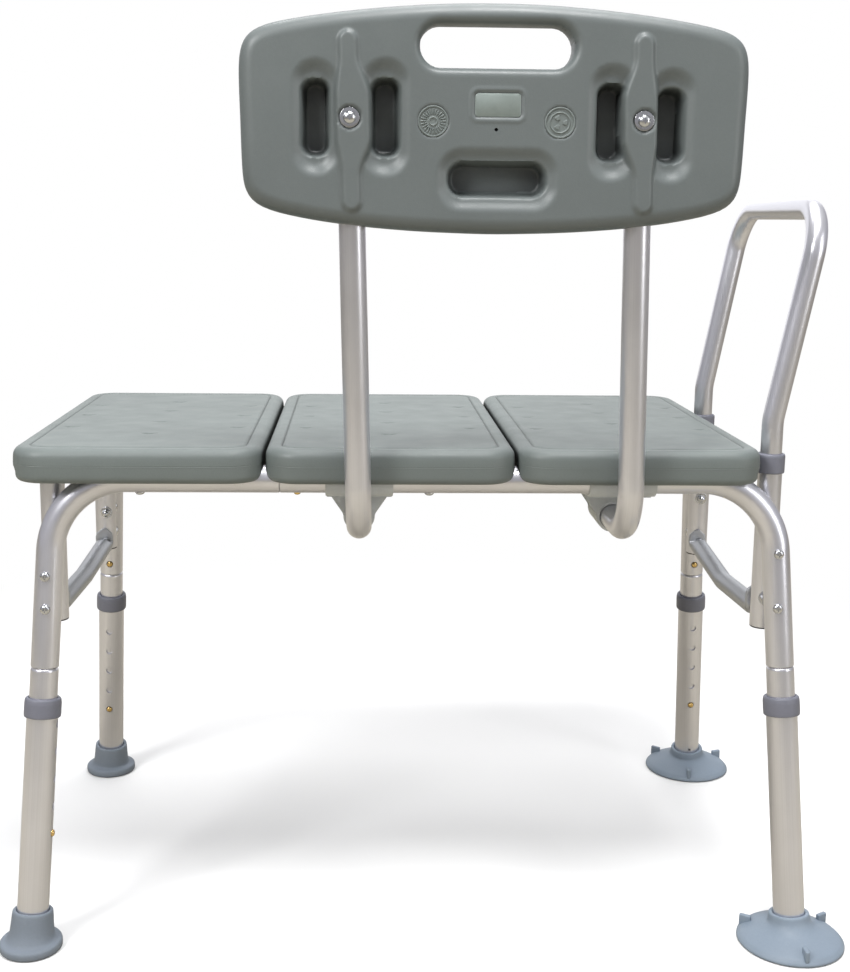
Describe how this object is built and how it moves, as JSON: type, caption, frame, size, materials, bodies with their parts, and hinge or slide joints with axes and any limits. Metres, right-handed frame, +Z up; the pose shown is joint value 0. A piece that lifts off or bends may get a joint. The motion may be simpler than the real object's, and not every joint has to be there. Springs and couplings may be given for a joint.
{
  "type": "bath transfer bench",
  "caption": "Aluminium bath transfer bench with a plastic slab seat, plug-in backrest, plug-in side handle and telescopic legs on rubber tips and suction cups.",
  "frame": {"origin": "on the floor under the middle of the bounding box; the centre of the four feet is 10.3 mm from it towards the handleless end", "axes": "+X along the bench towards the end with the side handle, +Y towards the front edge a sitter faces, +Z up"},
  "size_m": [0.7862, 0.508, 0.8427],
  "materials": {
    "panel_plastic": "satin moulded grain",
    "anodised_tube": "satin anodised",
    "collar_plastic": "satin",
    "tip_rubber": "matt",
    "cup_rubber": "satin",
    "button_brass": "polished",
    "plated_steel": "bright plated",
    "bracket_plastic": "satin"
  },
  "bodies": {
    "frame": {"seat_panel_left": "panel_plastic", "seat_panel_centre": "panel_plastic", "seat_panel_right": "panel_plastic", "back_receiver_left": "bracket_plastic", "back_receiver_right": "bracket_plastic", "handle_collar_rear": "collar_plastic", "frame_tube_rear_left": "anodised_tube", "leg_tube_rear_left": "anodised_tube", "handle_socket_rear_left": "anodised_tube", "socket_bolt_lower_rear_left": "plated_steel", "socket_bolt_upper_rear_left": "plated_steel", "frame_tube_rear_right": "anodised_tube", "leg_tube_rear_right": "anodised_tube", "handle_socket_rear_right": "anodised_tube", "socket_bolt_lower_rear_right": "plated_steel", "socket_bolt_upper_rear_right": "plated_steel", "handle_collar_front": "collar_plastic", "frame_tube_front_left": "anodised_tube", "leg_tube_front_left": "anodised_tube", "handle_socket_front_left": "anodised_tube", "socket_bolt_lower_front_left": "plated_steel", "socket_bolt_upper_front_left": "plated_steel", "frame_tube_front_right": "anodised_tube", "leg_tube_front_right": "anodised_tube", "handle_socket_front_right": "anodised_tube", "socket_bolt_lower_front_right": "plated_steel", "socket_bolt_upper_front_right": "plated_steel", "side_brace_left": "anodised_tube", "side_brace_right": "anodised_tube"},
    "leg_lower_rear_left": {"leg_extension_rear_left": "anodised_tube", "leg_collar_rear_left": "collar_plastic", "rubber_tip_rear": "tip_rubber"},
    "leg_lower_rear_right": {"leg_extension_rear_right": "anodised_tube", "leg_collar_rear_right": "collar_plastic", "suction_foot_rear": "cup_rubber"},
    "leg_lower_front_left": {"leg_extension_front_left": "anodised_tube", "leg_collar_front_left": "collar_plastic", "rubber_tip_front": "tip_rubber"},
    "leg_lower_front_right": {"leg_extension_front_right": "anodised_tube", "leg_collar_front_right": "collar_plastic", "suction_foot_front": "cup_rubber"},
    "backrest": {"backrest_panel": "panel_plastic", "back_tube_left": "anodised_tube", "back_tube_right": "anodised_tube", "backrest_bolt_left": "plated_steel", "backrest_bolt_right": "plated_steel"},
    "side_handle": {"side_handle": "anodised_tube"},
    "height_button_rear_left": {"height_button_rear_left": "button_brass"},
    "leg_lock_button_rear_left": {"leg_lock_button_rear_left": "button_brass"},
    "height_button_rear_right": {"height_button_rear_right": "button_brass"},
    "leg_lock_button_rear_right": {"leg_lock_button_rear_right": "button_brass"},
    "height_button_front_left": {"height_button_front_left": "button_brass"},
    "leg_lock_button_front_left": {"leg_lock_button_front_left": "button_brass"},
    "height_button_front_right": {"height_button_front_right": "button_brass"},
    "leg_lock_button_front_right": {"leg_lock_button_front_right": "button_brass"},
    "rail_button_rear": {"rail_button_rear": "button_brass"},
    "rail_button_front": {"rail_button_front": "button_brass"},
    "back_button_left": {"back_button_left": "button_brass"},
    "back_button_right": {"back_button_right": "button_brass"}
  },
  "joints": [
    {"name": "leg_height_rear_left", "type": "slide", "parent": "frame", "child": "leg_lower_rear_left", "axis": [-0.0525, -0.1337, -0.9896], "range_m": [0, 0.1016], "deforming": ["height_button_rear_left"]},
    {"name": "leg_height_rear_right", "type": "slide", "parent": "frame", "child": "leg_lower_rear_right", "axis": [0.0525, -0.1337, -0.9896], "range_m": [0, 0.1016], "deforming": ["height_button_rear_right"]},
    {"name": "leg_height_front_left", "type": "slide", "parent": "frame", "child": "leg_lower_front_left", "axis": [-0.0525, 0.1337, -0.9896], "range_m": [0, 0.1016], "deforming": ["height_button_front_left"]},
    {"name": "leg_height_front_right", "type": "slide", "parent": "frame", "child": "leg_lower_front_right", "axis": [0.0525, 0.1337, -0.9896], "range_m": [0, 0.1016], "deforming": ["height_button_front_right"]},
    {"name": "backrest_pull_out", "type": "slide", "parent": "frame", "child": "backrest", "axis": [0, -1, 0], "range_m": [0, 0.064], "deforming": ["back_button_left", "back_button_right"]},
    {"name": "side_handle_lift_out", "type": "slide", "parent": "frame", "child": "side_handle", "axis": [0, 0, 1], "range_m": [0, 0.07]},
    {"name": "height_button_rear_left_press", "type": "slide", "parent": "frame", "child": "height_button_rear_left", "axis": [-0.9986, 0.007, 0.052], "range_m": [0, 0.0035], "stiffness_N_per_m": 600, "springref_m": -0.003},
    {"name": "leg_lock_button_rear_left_press", "type": "slide", "parent": "frame", "child": "leg_lock_button_rear_left", "axis": [0, -0.991, 0.1339], "range_m": [0, 0.0025], "stiffness_N_per_m": 600, "springref_m": -0.003},
    {"name": "height_button_rear_right_press", "type": "slide", "parent": "frame", "child": "height_button_rear_right", "axis": [0, -0.991, 0.1339], "range_m": [0, 0.0035], "stiffness_N_per_m": 600, "springref_m": -0.003},
    {"name": "leg_lock_button_rear_right_press", "type": "slide", "parent": "frame", "child": "leg_lock_button_rear_right", "axis": [0, -0.991, 0.1339], "range_m": [0, 0.0025], "stiffness_N_per_m": 600, "springref_m": -0.003},
    {"name": "height_button_front_left_press", "type": "slide", "parent": "frame", "child": "height_button_front_left", "axis": [0, 0.991, 0.1339], "range_m": [0, 0.0035], "stiffness_N_per_m": 600, "springref_m": -0.003},
    {"name": "leg_lock_button_front_left_press", "type": "slide", "parent": "frame", "child": "leg_lock_button_front_left", "axis": [0, 0.991, 0.1339], "range_m": [0, 0.0025], "stiffness_N_per_m": 600, "springref_m": -0.003},
    {"name": "height_button_front_right_press", "type": "slide", "parent": "frame", "child": "height_button_front_right", "axis": [0, 0.991, 0.1339], "range_m": [0, 0.0035], "stiffness_N_per_m": 600, "springref_m": -0.003},
    {"name": "leg_lock_button_front_right_press", "type": "slide", "parent": "frame", "child": "leg_lock_button_front_right", "axis": [0, 0.991, 0.1339], "range_m": [0, 0.0025], "stiffness_N_per_m": 600, "springref_m": -0.003},
    {"name": "rail_button_rear_press", "type": "slide", "parent": "frame", "child": "rail_button_rear", "axis": [0, 0, 1], "range_m": [0, 0.0025], "stiffness_N_per_m": 600, "springref_m": -0.003},
    {"name": "rail_button_front_press", "type": "slide", "parent": "frame", "child": "rail_button_front", "axis": [0, 0, 1], "range_m": [0, 0.0025], "stiffness_N_per_m": 600, "springref_m": -0.003},
    {"name": "back_button_left_press", "type": "slide", "parent": "backrest", "child": "back_button_left", "axis": [0, 0, 1], "range_m": [0, 0.005], "stiffness_N_per_m": 600, "springref_m": -0.003},
    {"name": "back_button_right_press", "type": "slide", "parent": "backrest", "child": "back_button_right", "axis": [0, 0, 1], "range_m": [0, 0.005], "stiffness_N_per_m": 600, "springref_m": -0.003}
  ]
}
